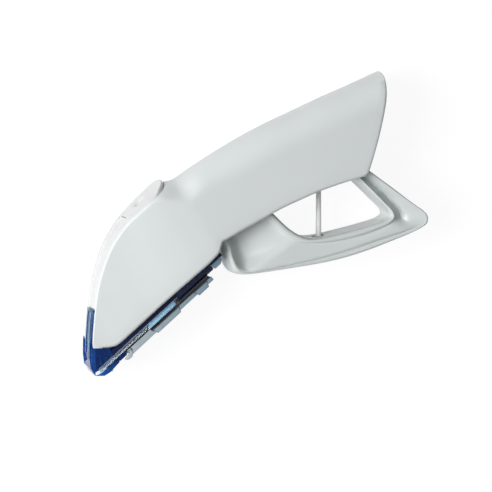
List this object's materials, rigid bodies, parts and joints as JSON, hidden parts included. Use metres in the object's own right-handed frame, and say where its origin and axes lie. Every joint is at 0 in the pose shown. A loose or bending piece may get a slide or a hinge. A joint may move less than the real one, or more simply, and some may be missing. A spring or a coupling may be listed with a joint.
{
  "type": "skin stapler",
  "caption": "Hand-held skin stapler: white palm grip casing, rocking squeeze trigger, blue see-through nose guide and slanted staple magazine.",
  "frame": {"origin": "on the right casing's flat side face, straight below the trigger pin's axis", "axes": "+X from the nose towards the tail of the grip, +Y from the trigger towards the back of the grip and against the ram's stroke, +Z from the right side, which it lies on, to the left side"},
  "size_m": [0.1238, 0.1067, 0.028],
  "materials": {
    "left_casing": "satin white ABS",
    "right_casing": "satin white ABS",
    "spine_cover": "satin white ABS",
    "trigger_lever": "satin white ABS",
    "return_plunger": "white acetal",
    "nose_guide": "clear blue polycarbonate",
    "magazine_body": "clear blue polycarbonate",
    "spring_sleeve_left": "clear dark blue",
    "spring_sleeve_right": "clear dark blue",
    "follower": "pale blue acetal",
    "tail_clip": "pale blue acetal",
    "ram_carrier": "grey acetal",
    "magazine_plate": "folded stainless sheet",
    "staple_rail": "stainless",
    "staples": "drawn stainless wire",
    "ram": "stamped stainless sheet",
    "drive_pin": "ground stainless",
    "trigger_pin": "ground stainless",
    "feed_spring_left": "spring wire",
    "feed_spring_right": "spring wire",
    "return_spring": "spring wire",
    "feed_rod_left": "ground stainless",
    "feed_rod_right": "ground stainless",
    "dowel_nose": "ground stainless",
    "dowel_grip": "ground stainless",
    "dowel_tail": "ground stainless"
  },
  "bodies": {
    "housing": {"left_casing": "left_casing", "right_casing": "right_casing", "spine_cover": "spine_cover", "nose_guide": "nose_guide", "magazine_body": "magazine_body", "magazine_plate": "magazine_plate", "staple_rail": "staple_rail", "staples": "staples", "feed_spring_left": "feed_spring_left", "feed_spring_right": "feed_spring_right", "spring_sleeve_left": "spring_sleeve_left", "spring_sleeve_right": "spring_sleeve_right", "feed_rod_left": "feed_rod_left", "feed_rod_right": "feed_rod_right", "tail_clip": "tail_clip", "trigger_pin": "trigger_pin", "return_spring": "return_spring", "dowel_nose": "dowel_nose", "dowel_grip": "dowel_grip", "dowel_tail": "dowel_tail"},
    "trigger": {"trigger_lever": "trigger_lever"},
    "ram_unit": {"ram": "ram", "ram_carrier": "ram_carrier", "drive_pin": "drive_pin"},
    "plunger": {"return_plunger": "return_plunger"},
    "feed": {"follower": "follower"}
  },
  "joints": [
    {"name": "trigger_pivot", "type": "hinge", "parent": "housing", "child": "trigger", "pos_m": [0, 0, 0.014], "axis": [0, 0, 1], "range_deg": [0, 11], "stiffness_Nm_per_rad": 0.5},
    {"name": "ram_stroke", "type": "slide", "parent": "housing", "child": "ram_unit", "axis": [0, -1, 0], "range_m": [0, 0.0072], "deforming": ["staples"]},
    {"name": "plunger_slide", "type": "slide", "parent": "housing", "child": "plunger", "axis": [0, 1, 0], "range_m": [0, 0.00742], "deforming": ["return_spring"]},
    {"name": "follower_feed", "type": "slide", "parent": "housing", "child": "feed", "axis": [-0.7478, -0.6639, 0], "range_m": [0, 0.023], "deforming": ["feed_spring_left", "feed_spring_right", "staples"]}
  ],
  "couplings": [
    {"joint": "ram_stroke", "follows": "trigger_pivot", "m_per_rad": 0.0375},
    {"joint": "plunger_slide", "follows": "trigger_pivot", "m_per_rad": 0.0386}
  ]
}
